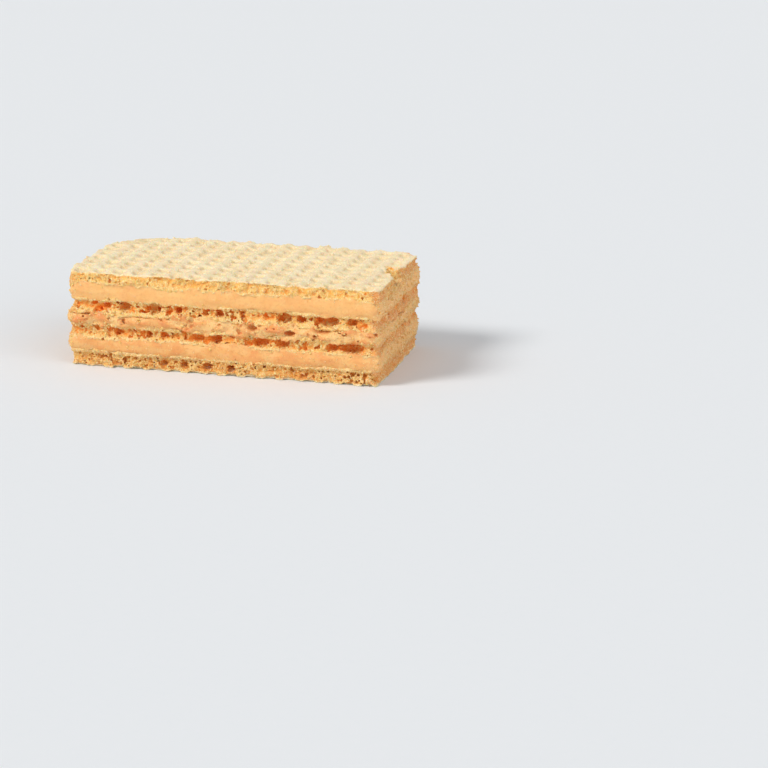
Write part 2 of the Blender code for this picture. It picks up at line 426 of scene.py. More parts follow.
def shown_depth(block, outline, name):
    """How deep each place lies inside the outline; under a broken sheet the top counts as a side."""
    place = STACK.index(name)
    depth = -outline
    if place < len(STACK) - 1:
        above = -neighbour_outline(STACK[place + 1], block)
        share = fade(block.z, levels[place + 1] - 0.9, levels[place + 1] - 0.5)
        depth = depth + share * (np.minimum(depth, above) - depth)
    return np.broadcast_to(depth, block.shape)


def near_joint(block, joint, reach=JOINT_REACH):
    """1 at a joint's level, 0 from reach millimetres on."""
    return 1 - fade(np.abs(block.z - levels[joint]), 0.1, reach)


def meet_neighbours(field, block, name):
    """The field with its sides drawn to the neighbours' sides near both joints."""
    place = STACK.index(name)
    outline = outline_plan(field)
    share = CREAM_GIVES if name in CREAMS else SHEET_GIVES
    for joint, other in ((place, place - 1), (place + 1, place + 1)):
        if 0 < joint < len(STACK):
            gap = neighbour_outline(STACK[other], block) - outline
            field = field + share * near_joint(block, joint) * np.clip(gap, -0.6, 0.6)
    return field, outline


# %% [markdown]
# ## Torn crumb
# All sides carry the same crumb noise, a coarse one and a fine one, that runs on from layer to layer.
# Only its strength differs: strong on the sheets, weak on the smooth cream and in between at a joint. At
# the two short ends the cut drags dry crumbs over everything, so there sheets and cream are much alike.

# %% How rough each side is
END_DUST = 1.25                            # mm, how far the dust of the short ends reaches


def side_share(field, voxel):
    """1 where the surface faces sideways, 0 where it faces up or down."""
    upright = np.abs(np.gradient(field, voxel, axis=2))
    return 1 - fade(upright, 0.25, 0.6)


def end_share(block, waver):
    """1 at the two short ends, fading out within a millimetre or so."""
    inward = half_length - np.abs(block.x) + 0.45 * waver
    return 1 - fade(inward, END_DUST, END_DUST + 0.7)


def joint_edges(block, name):
    """1 along a layer's joints with its neighbours, 0 in its middle and along outer faces."""
    place = STACK.index(name)
    joints = [joint for joint in (place, place + 1) if 0 < joint < len(STACK)]
    return sum(near_joint(block, joint, 0.4) for joint in joints)


def crumb_noise(block):
    """The coarse and the fine crumb noise."""
    coarse = noise(block.lines, (0.75, 0.75, 0.6), seed=31)
    fine = noise(block.lines, (0.28, 0.28, 0.25), seed=32)
    return coarse, fine


# %% [markdown]
# ## Air cells
# Batter boils between hot plates, and the steam leaves cells of every size: fine ones all through and
# wide ones along the middle of the sheet. A cell starts as a ball, squeezed a little in each direction.
# Where two balls would run into each other a thin wall stays between them, as in any foam, so the cells
# get the odd corners that a plain ball lacks. Only the cells near a side are ever seen, so only those
# are made. They start on a lattice and are jittered, because bubbles keep each other apart.

# %% Scatter and hollow the air cells
WALL = 0.15                                # mm, the walls between cells
CELL_REACH = 0.3                           # mm round a cell where its distances still count
# mm, no cell is torn open deeper
PIT_DEPTH = {"wafer_1": 0.5, "cream_2": 0.4, "wafer_2": 0.40, "wafer_3": 0.40, "wafer_4": 0.20}


def scattered_centres(name, heights, spacing, depths, draw):
    """Jittered places in rows at some heights, between two depths inside a layer's outline."""
    plan_block, plan = plans[name]
    lines = [np.arange(-half - MARGIN, half + MARGIN, spacing) for half in (half_length, half_width)]
    grid = np.stack(np.meshgrid(*lines, heights, indexing="ij"), -1).reshape(-1, 3)
    grid[:, :2] += draw.uniform(-0.4, 0.4, (len(grid), 2)) * spacing
    inside = -sample(np.broadcast_to(plan, plan_block.shape), plan_block, grid)
    return grid[(inside > depths[0]) & (inside < depths[1])]


class Foam:
    """Cells that press on each other: the distances to the nearest open one and to the next one."""

    def __init__(self, block):
        self.block = block
        self.nearest = np.full(block.shape, BAND, np.float32)
        self.next = np.full(block.shape, BAND, np.float32)

    def blow(self, centre, radius, opened):
        """Add one cell. One that isn't opened only keeps the others out."""
        window = self.block.window(centre, radius + CELL_REACH)
        if window is None:
            return
        across = (self.block.x[window[0]] - centre[0]) / radius[0]
        along = (self.block.y[:, window[1]] - centre[1]) / radius[1]
        up = (self.block.z[:, :, window[2]] - centre[2]) / radius[2]
        distance = (np.sqrt(across ** 2 + along ** 2 + up ** 2) - 1) * radius.min()
        if opened:
            self.next[window] = np.minimum(self.next[window], np.maximum(self.nearest[window], distance))
            self.nearest[window] = np.minimum(self.nearest[window], distance)
        else:
            self.next[window] = np.minimum(self.next[window], distance)

    def air(self):
        """Distances to the air in the open cells."""
        return np.maximum(self.nearest, (WALL - self.next + self.nearest) / 2)


# spacing, rows, share of the thickness that the rows span, radii, depths, chance that a cell is open
CELL_SIZES = (
    (0.40, 5, 0.86, (0.13, 0.27), (-0.22, 0.16), 0.70),
    (0.72, 2, 0.42, (0.30, 0.52), (-0.18, 0.30), 0.72),
    (1.15, 1, 0.00, (0.65, 1.00), (-0.15, 0.40), 0.75),
)
# factors on that chance, for the small, the middling and the wide cells
OPENNESS = {
    "wafer_1": (1.0, 0.9, 0.35),
    "wafer_2": (0.9, 0.8, 0.80),
    "wafer_3": (0.9, 0.9, 1.0),
    "wafer_4": (0.28, 0.18, 0.0),
    "cream_2": (0.15, 0.4, 0.0),
}
# the lowest and highest upright radius, and how far above the middle a cell sits, of half a thickness
PLAIN_UPRIGHT = (0.0, 0.8, 0.0)
WIDE_UPRIGHT = {
    "wafer_1": (0.3, 0.5, -0.35),
    "wafer_2": (0.8, 1.05, 0.0),
    "wafer_3": (1.05, 1.3, -0.15),
    "wafer_4": PLAIN_UPRIGHT,
    "cream_2": PLAIN_UPRIGHT,
}


def layer_cells(name):
    """The cells along a layer's sides: their middles, their radii and whether they are open."""
    place = STACK.index(name)
    middle = (levels[place] + levels[place + 1]) / 2
    half = (levels[place + 1] - levels[place]) / 2
    draw = np.random.default_rng(1000 * (place + 1))
    found = []
    for (spacing, rows, span, size, depths, chance), open_share in zip(CELL_SIZES, OPENNESS[name]):
        heights = middle + half * np.linspace(-span, span, rows)
        centres = scattered_centres(name, heights, spacing, depths, draw)
        opened = draw.random(len(centres)) < chance * open_share
        centres[:, 2] += draw.uniform(-0.2, 0.2, len(centres)) * half
        lowest, highest, drift = WIDE_UPRIGHT[name] if rows == 1 else PLAIN_UPRIGHT
        centres[:, 2] += drift * half
        radii = draw.uniform(*size, len(centres))[:, None] * draw.uniform(0.75, 1.3, (len(centres), 3))
        radii[:, 2] = np.clip(radii[:, 2], lowest * half, highest * half)
        radii[~opened] *= 0.7
        found += list(zip(centres, radii, opened))
    return found


def air_field(block, outline, found, deepest):
    """Distances to the air of some cells, none of them torn open too deep."""
    foam = Foam(block)
    for cell in found:
        foam.blow(*cell)
    return np.maximum(foam.air(), -outline - deepest)


cells = {name: layer_cells(name) for name in OPENNESS}
print("cells:", {name: len(found) for name, found in cells.items()})

# %% [markdown]
# ## The wafer sheets
# The sides of a sheet are torn crumb: rough, pitted and set back a little. Its faces are the baked
# skins, much smoother, with only the fine grain that the plates leave. Seen from the side a skin is
# paler here and there, stands out a little and holds few cells. On top the ribs that run across
# the cookie stand a little higher than those that run along it. Its edges are rubbed round, and most of
# all its two corners at the back. From the chip in its right end a cleft runs on into the sheet.

# %% Shape a sheet
LAYER_SHADING = {"wafer_1": 1.0, "wafer_2": 0.45, "wafer_3": 0.3, "wafer_4": 0.1}    # painted shading of each sheet: darker towards the bottom, paler cells on top
SHEET_VOXEL = 0.09                         # mm
SHEET_ROUNDING, TOP_ROUNDING = 0.14, 0.18  # mm, the blur of the plain solids
SHEET_MOST = 146000                        # triangles
SHEET_MERGING = 0.12                       # how readily flat places get larger faces, 0 to 1
TORN_BELOW, TORN_ABOVE = 3, 4              # the joints on both sides of the torn middle cream
GRID_X = -19.6                             # mm, a waffle cell's middle on the long axis
GROOVE = 0.20                              # mm, the grooves across the top
FAR_INSIDE = 9.0                           # mm, deeper than any outer skin
# mm, the middles and radii of the balls that make up the cleft
CLEFT = (
    ((24.0, -0.3, 15.1), (1.1, 1.4, 1.5)),
    ((22.9, 1.0, 15.1), (1.0, 1.0, 1.3)),
    ((22.1, 2.2, 15.1), (0.7, 0.9, 1.1)),
)
# mm, the middle and radii of the paler patch under the chip, painted light
CHIP_LIGHT_PATCH = ((25.0, -3.5, 13.4), (2.5, 6.0, 2.0))
surfaces = {}                              # the points, triangles and marks of each layer


def ball_distance(block, centre, radii):
    """About how far each voxel lies outside a squeezed ball."""
    across, along, up = [(line - middle) / radius
                         for line, middle, radius in zip((block.x, block.y, block.z), centre, radii)]
    return (np.sqrt(across ** 2 + along ** 2 + up ** 2) - 1) * min(radii)


def top_wear(block, outline, waver):
    """How much lower the rubbed edges and the left back corner of the top face lie."""
    edge = 1 - fade(-outline, 0.0, 1.3)
    corner = 1 - fade(np.hypot(block.x + half_length, block.y - half_width), 3.0, 11.0)
    return 0.10 * edge + 0.55 * corner + 0.04 * waver


def wear_top(field, block, outline, waver):
    """Groove the top face across the rows of cells, and rub its edges and its two back corners."""
    row = 0.5 + 0.5 * np.cos(2 * math.pi * (block.x - GRID_X) / PITCH)
    groove = block.z - height + (GROOVE + 0.05 * waver) * fade(row, 0.2, 0.9)
    field = smooth_max(field, groove, 0.15)
    broken = 1 - fade(np.hypot(block.x - half_length, block.y - half_width), 0.5, 3.2)
    field = field + 0.9 * broken * fade(block.z, height - 2.0, height - 0.2)
    return field + top_wear(block, outline, waver) * fade(block.z, height - 1.0, height - 0.3)


def outer_skin(block, outline, inward, name, waver):
    """1 on the outer skins: thin along the sides, and over the whole waffle pattern further in."""
    thickness = 0.22 + 0.75 * fade(inward, 0.15, 0.7) + 0.07 * waver
    depth = FAR_INSIDE
    if name == "wafer_4":
        depth = height - block.z - top_wear(block, outline, waver)
    if name == "wafer_1":
        depth = block.z
    return 1 - fade(depth - thickness, -0.1, 0.1)


def shape_sheet(name):
    """The fine mesh of one wafer sheet, with its marks."""
    rounding = TOP_ROUNDING if name == "wafer_4" else SHEET_ROUNDING
    block, base = solid_distances(name, SHEET_VOXEL * QUICK_FACTOR, rounding)
    side = side_share(base, block.voxel)
    base, outline = meet_neighbours(base, block, name)
    coarse, fine = crumb_noise(block)
    inward = -outline
    depth = shown_depth(block, outline, name)
    if name == "wafer_4":
        cleft = np.minimum.reduce([ball_distance(block, *part) for part in CLEFT]) + 0.1 * coarse
        base = smooth_max(wear_top(base, block, outline, coarse), -cleft, 0.15)
        side = np.maximum(side, 1 - fade(cleft, 0.1, 0.5))
        inward = np.minimum(inward, cleft)
        depth = np.minimum(depth, 0.12 + np.clip(cleft, 0, None))
    skin = outer_skin(block, outline, inward, name, coarse)
    ends = end_share(block, coarse)
    inner_skin = fade(joint_edges(block, name) + 0.25 * coarse, 0.3, 1.0) * (1 - ends)
    below, above = [near_joint(block, joint) for joint in (TORN_BELOW, TORN_ABOVE)]
    inner_skin = inner_skin * (1 - 0.8 * below - 0.8 * above)
    rough = side * (1 - 0.6 * skin) * (1 - 0.4 * inner_skin) * (1 - 0.45 * ends)
    swollen = side * (0.08 + 0.05 * inner_skin)
    field = base - swollen + rough * (0.10 * coarse + 0.11 * fine) + (1 - side) * 0.03 * fine
    air = air_field(block, outline, cells[name], PIT_DEPTH[name])
    air = air + 0.10 * fine + 0.06 * coarse + 0.4 * ends + 0.06 * inner_skin
    field = smooth_max(field, -air - 2 * skin, 0.06)
    field = cut_joints(field, block, name)
    field = np.maximum(field, -block.z)
    # crest is above 0 on ridges and thin walls, below 0 in hollows; the material paints shade into the
    # hollows and light onto the ridges.
    crest = blur(field, block.voxel, 0.2)
    # Less end tint round the chip: a paler patch there is painted light.
    ends = ends * (0.4 + 0.6 * fade(ball_distance(block, *CHIP_LIGHT_PATCH) + 0.3 * coarse, -0.6, 0.6))
    # Painted shading: the lower a sheet, the darker its crumb. Towards the ends it darkens too, partly end
    # dust and partly painted shade.
    shading_and_tone = LAYER_SHADING[name] + (0.9 - LAYER_SHADING[name]) * ends
    points, faces = pull_surface(field, block, SHEET_MERGING, SHEET_MOST)
    # Upward faces in the grooves and cells of the top face, where the material paints shade.
    groove_shade = (1 - side) * fade(height - block.z, 0.1, 0.45) * fade(block.z, height - 1.2, height - 0.7)
    marks = {
        "depth": sample(depth, block, points),
        "crumb": 1 - sample(np.clip(skin + 0.15 * side * inner_skin, 0, 1), block, points),
        "groove_shade": sample(groove_shade, block, points),
        "shading_and_tone": sample(shading_and_tone, block, points),
        "crest": sample(crest, block, points),
        # Darker, more orange crumb at the ends: partly end dust, partly painted shade, full on the right
        # end.
        "end": sample(ends, block, points) * np.where(points[:, 0] > 0, 1.0, 0.4),
    }
    surfaces[name] = (points, faces, marks)
    piece = make_piece(f"{name}_baked", points, faces, marks)
    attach(piece, "root")
    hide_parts(name)
    print(piece.name, "triangles:", len(faces))
    return piece


sheets = [shape_sheet(name) for name in SHEETS]

# %% [markdown]
# ## The cream layers
# Fat cream keeps the marks of the blade and wire that spread and cut it: it is smooth, swells out a
# little, and is drawn along the side in faint level streaks. The middle layer is thin and torn, so it
# gets lumps and a few flat blisters, and the wide cells of both its neighbours reach into it.

# %% Shape a cream
LUMPS = {"cream_1": 0.05, "cream_2": 0.17, "cream_3": 0.03}   # mm
STAIN_AND_SHADE = {"cream_1": 0.45, "cream_2": 1.0, "cream_3": 0.1}     # how uneven the colour is, 0 to 1; from 0.15 on it also paints shade over the whole layer
CREAM_VOXEL = 0.11                         # mm
CREAM_ROUNDING = 0.16                      # mm
CREAM_MOST = 85000                         # triangles
CREAM_MERGING = 0.1                        # as for the sheets
WIDE_CELL = 0.5                            # mm, from this radius on a sheet's cell reaches into the cream


def shape_cream(name):
    """The fine mesh of one cream layer, with its marks."""
    block, base = solid_distances(name, CREAM_VOXEL * QUICK_FACTOR, CREAM_ROUNDING)
    base, outline = meet_neighbours(base, block, name)
    coarse, fine = crumb_noise(block)
    crumbled = joint_edges(block, name) * fade(coarse, -0.4, 0.9)
    dust = np.clip(0.8 * end_share(block, coarse) + 0.7 * crumbled, 0, 1)
    swell = noise(block.lines, (2.4, 2.4, 1.2), seed=41)
    lumps = noise(block.lines, (1.1, 1.1, 0.5), seed=42)
    streaks = noise(block.lines, (2.2, 2.2, 0.22), seed=43)
    smooth = 0.06 * swell + LUMPS[name] * lumps + 0.02 * streaks + 0.012 * fine
    smooth = smooth - 0.06 * joint_edges(block, name)
    field = base - 0.08 + (1 - dust) * smooth + dust * (0.07 * coarse + 0.06 * fine)
    if name == "cream_2":
        shared = [cell for cell in cells["wafer_2"] + cells["wafer_3"] if max(cell[1]) > WIDE_CELL]
        air = air_field(block, outline, cells[name] + shared, PIT_DEPTH[name]) + 0.12 * fine
        field = smooth_max(field, -air, 0.1)
    field = cut_joints(field, block, name)
    points, faces = pull_surface(field, block, CREAM_MERGING, CREAM_MOST)
    marks = {
        "depth": sample(shown_depth(block, outline, name), block, points),
        "dust": sample(dust, block, points),
        "stain_and_shade": np.full(len(points), STAIN_AND_SHADE[name]),
        "lump": sample(lumps - 0.7 * near_joint(block, TORN_ABOVE, 1.0), block, points),
    }
    surfaces[name] = (points, faces, marks)
    piece = make_piece(f"{name}_spread", points, faces, marks)
    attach(piece, "root")
    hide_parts(name)
    print(piece.name, "triangles:", len(faces))
    return piece


creams = [shape_cream(name) for name in CREAMS]

# %% [markdown]
# ## Loose crumbs
# A cut wafer is never clean: bits of its own crumb stick to the fat of the cream and lie on the skin.
# Each crumb is a ball of twenty faces, dented by chance, squeezed and turned. Thin torn walls hang on
# as splinters, which need only eight faces. Where they land follows what each surface is: many on torn
# crumb and dusty ends, few on clean cream and on the skin, and a crowd of them round the chip.

# %% Where crumbs land
GOLDEN = (1 + math.sqrt(5)) / 2
BALL_POINTS = np.array([
    (-1, GOLDEN, 0), (1, GOLDEN, 0), (-1, -GOLDEN, 0), (1, -GOLDEN, 0),
    (0, -1, GOLDEN), (0, 1, GOLDEN), (0, -1, -GOLDEN), (0, 1, -GOLDEN),
    (GOLDEN, 0, -1), (GOLDEN, 0, 1), (-GOLDEN, 0, -1), (-GOLDEN, 0, 1),
]) / math.sqrt(1 + GOLDEN ** 2)
BALL_FACES = np.array([
    (0, 11, 5), (0, 5, 1), (0, 1, 7), (0, 7, 10), (0, 10, 11), (1, 5, 9), (5, 11, 4), (11, 10, 2),
    (10, 7, 6), (7, 1, 8), (3, 9, 4), (3, 4, 2), (3, 2, 6), (3, 6, 8), (3, 8, 9), (4, 9, 5),
    (2, 4, 11), (6, 2, 10), (8, 6, 7), (9, 8, 1),
])
SPLINTER_POINTS = np.array([(1, 0, 0), (-1, 0, 0), (0, 1, 0), (0, -1, 0), (0, 0, 1), (0, 0, -1)])
SPLINTER_FACES = np.array([
    (0, 2, 4), (2, 1, 4), (1, 3, 4), (3, 0, 4), (2, 0, 5), (1, 2, 5), (3, 1, 5), (0, 3, 5),
])
CHIP_X, CHIP_Y, CHIP_Z = 21.5, 9.0, 12.3   # mm, round the chip: beyond, this far to each side, above
BARE = {"cream_1": 0.6, "cream_2": 1.2, "cream_3": 0.2}       # how thickly crumbs land on clean cream


def landing_places(name, draw, crowd):
    """Points on a layer's surface where crumbs land, with the way that the surface faces there."""
    points, faces, marks = surfaces[name]
    corners = points[faces]
    cross = np.cross(corners[:, 1] - corners[:, 0], corners[:, 2] - corners[:, 0])
    area = np.linalg.norm(cross, axis=1) / 2
    outward = cross / np.maximum(2 * area, 1e-6)[:, None]
    depth = marks["depth"][faces].mean(axis=1)
    open_air = 1 - fade(depth, 0.1, 0.5)
    middle = corners.mean(axis=1)
    chipped = (middle[:, 0] > CHIP_X) & (middle[:, 2] > CHIP_Z) & (np.abs(middle[:, 1]) < CHIP_Y)
    if name in SHEETS:
        crumb = marks["crumb"][faces].mean(axis=1)
        density = 2.4 * crumb * open_air
        if name == "wafer_4":
            density += 0.5 * (outward[:, 2] > 0.5)
    else:
        crumb = np.ones(len(faces))
        density = (BARE[name] + 3.5 * marks["dust"][faces].mean(axis=1)) * open_air
    landed = draw.random(len(area)) < crowd * (density + 4.0 * chipped * open_air) * area
    return middle[landed], outward[landed], crumb[landed]


def random_turns(count, draw):
    """Rotation matrices, all ways equally likely."""
    w, x, y, z = draw.standard_normal((4, count))
    size = np.sqrt(w * w + x * x + y * y + z * z)
    w, x, y, z = w / size, x / size, y / size, z / size
    rows = [
        1 - 2 * (y * y + z * z), 2 * (x * y - w * z), 2 * (x * z + w * y),
        2 * (x * y + w * z), 1 - 2 * (x * x + z * z), 2 * (y * z - w * x),
        2 * (x * z - w * y), 2 * (y * z + w * x), 1 - 2 * (x * x + y * y),
    ]
    return np.stack(rows, -1).reshape(count, 3, 3)


# %% [markdown]
# Thousands of bits as objects of their own would be slow to handle, and instances would have to be made
# real before an export. So each kind is one mesh that holds every copy, worked out with arrays. The two
# kinds differ in the form that is copied, its radii, how many land and how pale they are. The middle of
# each bit lies just outside the surface, so its lower part is sunk in and it doesn't float.

# %% Shape crumbs and splinters
def shape_crumbs(name, form, crowd, shape_of, crests, seed):
    """One mesh of many bits: copies of a form, each with the radii that shape_of draws.

    crowd says how thickly they land, and crests gives the range of the mark that makes them pale.
    """
    form_points, form_faces = form
    draw = np.random.default_rng(seed)
    landings = [landing_places(layer, draw, crowd) for layer in STACK]
    places = np.concatenate([landing[0] for landing in landings])
    outward = np.concatenate([landing[1] for landing in landings])
    crumb = np.concatenate([landing[2] for landing in landings])
    count = len(places)
    radii = shape_of(count, draw)
    dents = draw.uniform(0.75, 1.2, (count, len(form_points), 1))
    bits = form_points[None] * dents * radii[:, None, :]
    bits = np.einsum("nij,nkj->nki", random_turns(count, draw), bits)
    centres = places + outward * (0.3 * radii.min(axis=1))[:, None]
    points = (bits + centres[:, None, :]).reshape(-1, 3)
    points[:, 2] = np.clip(points[:, 2], 0.0, None)
    faces = (form_faces[None] + len(form_points) * np.arange(count)[:, None, None]).reshape(-1, 3)
    marks = {"depth": np.zeros(count), "crumb": crumb, "groove_shade": np.zeros(count)}
    # Each crumb's own tone, in the mark that carries painted shading on the sheets.
    marks["shading_and_tone"] = draw.uniform(-0.2, 0.5, count)
    marks["crest"] = draw.uniform(*crests, count)
    # Crumbs on the right end take the same tint: partly end dust, partly painted shade.
    marks["end"] = 0.7 * fade(places[:, 0], half_length - 1.5, half_length - 0.7)
    marks = {mark: np.repeat(values, len(form_points)) for mark, values in marks.items()}
    piece = make_piece(name, points, faces, marks)
    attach(piece, "root")
    print(name, "triangles:", len(faces))
    return piece


def crumb_radii(count, draw):
    """Radii of crumbs: many fine ones, few coarse ones, all a little squeezed."""
    radius = 0.07 + 0.15 * draw.random(count) ** 2.5
    return radius[:, None] * draw.uniform(0.5, 1.5, (count, 3))


def splinter_radii(count, draw):
    """Radii of splinters: long and thin."""
    return np.stack([draw.uniform(0.14, 0.34, count), *draw.uniform(0.04, 0.08, (2, count))], -1)


ball = (BALL_POINTS, BALL_FACES)
splinter = (SPLINTER_POINTS, SPLINTER_FACES)
crumbs = [
    shape_crumbs("loose_crumbs", ball, crowd=0.55, shape_of=crumb_radii, crests=(0.0, 0.12), seed=77),
    shape_crumbs("splinters", splinter, crowd=0.85, shape_of=splinter_radii, crests=(0.1, 0.35), seed=78),
]

# %% [markdown]
# ## Writing materials as formulas
# A material is a chain of small sums: this noise times that mask, one colour mixed into another. Written
# as node after node the idea drowns, so one small class wraps a socket and lets Python's own operators
# add the Math nodes.

# %% A small language for materials
def linear(red, green, blue):
    """A colour picked on screen, 0 to 255, as the light values that shaders use."""
    parts = [part / 255 for part in (red, green, blue)]
    return tuple(part / 12.92 if part <= 0.04045 else ((part + 0.055) / 1.055) ** 2.4
                 for part in parts) + (1.0,)


class Wire:
    """One output of a node. Arithmetic on it adds Math nodes."""

    def __init__(self, recipe, socket):
        self.recipe = recipe
        self.socket = socket

    def _math(self, operation, first, second):
        return self.recipe.node("ShaderNodeMath", {"operation": operation}, {0: first, 1: second})

    def __add__(self, other):
        return self._math("ADD", self, other)

    __radd__ = __add__

    def __sub__(self, other):
        return self._math("SUBTRACT", self, other)

    def __rsub__(self, other):
        return self._math("SUBTRACT", other, self)

    def __mul__(self, other):
        return self._math("MULTIPLY", self, other)

    __rmul__ = __mul__


class Recipe:
    """One material and the nodes that it is made of."""

    def __init__(self, name):
        self.material = bpy.data.materials.new(name)
        self.material.use_nodes = True
        self.tree = self.material.node_tree
        self.shader = self.tree.nodes["Principled BSDF"]
        place = self.node("ShaderNodeTexCoord", output="Object")
        self.place = self.node("ShaderNodeVectorMath", {"operation": "SCALE"}, {0: place, "Scale": 1 / MM})

    def node(self, kind, settings=None, sockets=None, output=0):
        """Add a node: its settings first, then the values or links of its sockets."""
        made = self.tree.nodes.new(kind)
        for setting, value in (settings or {}).items():
            setattr(made, setting, value)
        for socket, value in (sockets or {}).items():
            self.feed(made.inputs[socket], value)
        return Wire(self, made.outputs[output])

    def feed(self, socket, value):
        """Give a socket a value, or link a wire to it."""
        if isinstance(value, Wire):
            self.tree.links.new(value.socket, socket)
        else:
            socket.default_value = value

    def noise(self, grain, detail, roughness=0.55, shift=0.0):
        """Noise from 0 to 1 with features of about that many millimetres."""
        place = self.node("ShaderNodeVectorMath", {"operation": "ADD"}, {0: self.place, 1: (shift,) * 3})
        sockets = {"Vector": place, "Scale": 1 / grain, "Detail": detail, "Roughness": roughness}
        return self.node("ShaderNodeTexNoise", {"normalize": True}, sockets, "Fac")

    def mark(self, name):
        """A number that the mesh keeps for each point."""
        return self.node("ShaderNodeAttribute", {"attribute_name": name}, output="Fac")

    def step(self, value, start, end):
        """0 up to start, 1 from end on, and a smooth step between."""
        sockets = {"Value": value, "From Min": start, "From Max": end}
        return self.node("ShaderNodeMapRange", {"interpolation_type": "SMOOTHSTEP"}, sockets)

    def mix(self, share, first, second):
        """Mix two colours."""
        sockets = {0: share, 6: first, 7: second}
        return self.node("ShaderNodeMix", {"data_type": "RGBA"}, sockets, 2)

    def bump(self, height, distance, strength):
        """Turn a height of 0 to 1 into a bumpy normal, with its real depth in millimetres."""
        sockets = {"Height": height, "Distance": distance * MM, "Strength": strength}
        return self.node("ShaderNodeBump", {}, sockets, "Normal")

    def finish(self, sockets):
        """Feed the shader."""
        for socket, value in sockets.items():
            self.feed(self.shader.inputs[socket], value)
        return self.material


# %% [markdown]
# ## Baked wafer
# The pressed skin is pale and dry, a little more toasted in patches. Where the crumb is torn open it is
# warmer, and the deeper an air cell goes the redder it gets, because light bounces between its tinted
# walls. The marks made with the mesh say where each is.

# %% The wafer material
def wafer_material():
    """Skin, torn crumb and the inside of the air cells, in one material."""
    recipe = Recipe("baked_wafer")
    crumb = recipe.mark("crumb")
    depth = recipe.mark("depth")
    crest = recipe.mark("crest")
    patches = recipe.noise(3.5, 2.0)
    mottle = recipe.noise(0.8, 3.0, shift=11.0)
    spots = recipe.noise(1.3, 2.0, shift=41.0)
    grain = recipe.noise(0.2, 2.0, shift=23.0)
    flecks = recipe.noise(0.32, 3.0, 0.65, shift=57.0)
    veins = recipe.noise(0.26, 3.0, 0.7, shift=71.0)

    skin = recipe.mix(recipe.step(patches, 0.35, 0.7), linear(248, 227, 186), linear(244, 218, 172))
    # Painted shade in the grooves and cells of the top face.
    skin = recipe.mix(recipe.mark("groove_shade") * 0.6, skin, linear(229, 198, 148))
    skin = recipe.mix(recipe.step(mottle, 0.5, 0.8) * 0.35, skin, linear(233, 200, 148))
    skin = recipe.mix(recipe.step(flecks, 0.56, 0.72) * 0.55, skin, linear(220, 186, 134))
    skin = recipe.mix(recipe.step(veins, 0.54, 0.66) * 0.25, skin, linear(226, 192, 140))
    skin = recipe.mix(recipe.step(grain, 0.5, 0.68) * 0.75, skin, linear(255, 245, 214))
    torn = recipe.mix(recipe.step(mottle, 0.3, 0.7), linear(250, 207, 127), linear(244, 192, 104))
    torn = recipe.mix(recipe.step(spots, 0.54, 0.72) * 0.6, torn, linear(240, 166, 70))
    # Painted shading of the sheets, darker towards the bottom; on loose crumbs the same mark is their own
    # tone.
    shading_and_tone = recipe.mark("shading_and_tone")
    fleck_strength = shading_and_tone * 0.4 + 0.6
    torn = recipe.mix(recipe.step(flecks, 0.53, 0.64) * fleck_strength * 0.6, torn, linear(218, 142, 58))
    torn = recipe.mix(shading_and_tone * 0.42, torn, linear(206, 142, 72))
    # Orange at the ends: partly end dust, partly painted shade, strongest on the right end.
    torn = recipe.mix(recipe.mark("end") * 0.5, torn, linear(234, 134, 80))
    # Painted shade in the hollows of the torn crumb, painted light on its ridges; loose crumbs use the mark
    # for their own paleness.
    torn = recipe.mix(recipe.step(0.0 - crest, 0.0, 0.10) * 0.7, torn, linear(234, 142, 58))
    torn = recipe.mix(recipe.step(crest, 0.02, 0.12) * 0.45, torn, linear(254, 216, 152))
    torn = recipe.mix(recipe.step(grain, 0.5, 0.66) * 0.65, torn, linear(255, 234, 178))
    torn = recipe.mix(recipe.step(veins, 0.54, 0.64) * fleck_strength * 0.6, torn, linear(212, 132, 52))
    torn = recipe.mix(recipe.step(crest, 0.12, 0.3) * 0.7, torn, linear(255, 230, 182))
    # The deeper inside an air cell, the redder: painted shade and bounced light.
    cell = recipe.mix(recipe.step(depth, 0.25, 0.6), linear(250, 160, 72), linear(255, 138, 36))
    # Cells browner on the lower sheets, painted shade, and paler on the top sheet, painted light.
    cell = recipe.mix(shading_and_tone - 0.3, cell, linear(208, 138, 62))
    cell = recipe.mix(recipe.step(0.0 - shading_and_tone, -0.28, -0.12) * 0.7, cell, linear(250, 190, 98))
    cell = recipe.mix(recipe.step(grain, 0.5, 0.66) * 0.5, cell, linear(255, 208, 130))

    surface = recipe.mix(crumb, skin, torn)
    opened = recipe.step(depth + (mottle - 0.5) * 0.3, 0.05, 0.4) * crumb
    colour = recipe.mix(opened, surface, cell)

    bumps = grain * 0.6 + recipe.noise(0.35, 2.0, shift=5.0)
    return recipe.finish({
        "Base Color": colour,
        "Roughness": recipe.noise(0.5, 2.0, shift=31.0) * 0.2 + 0.68,
        "Normal": recipe.bump(bumps * (crumb + 0.6), 0.10, 1.0),
        "Specular IOR Level": 0.25,
        "Subsurface Weight": 0.3,
        "Subsurface Radius": (1.0, 0.45, 0.2),
        "Subsurface Scale": 0.0004,
    })


wafer = wafer_material()
for piece in sheets + crumbs:
    piece.data.materials.append(wafer)
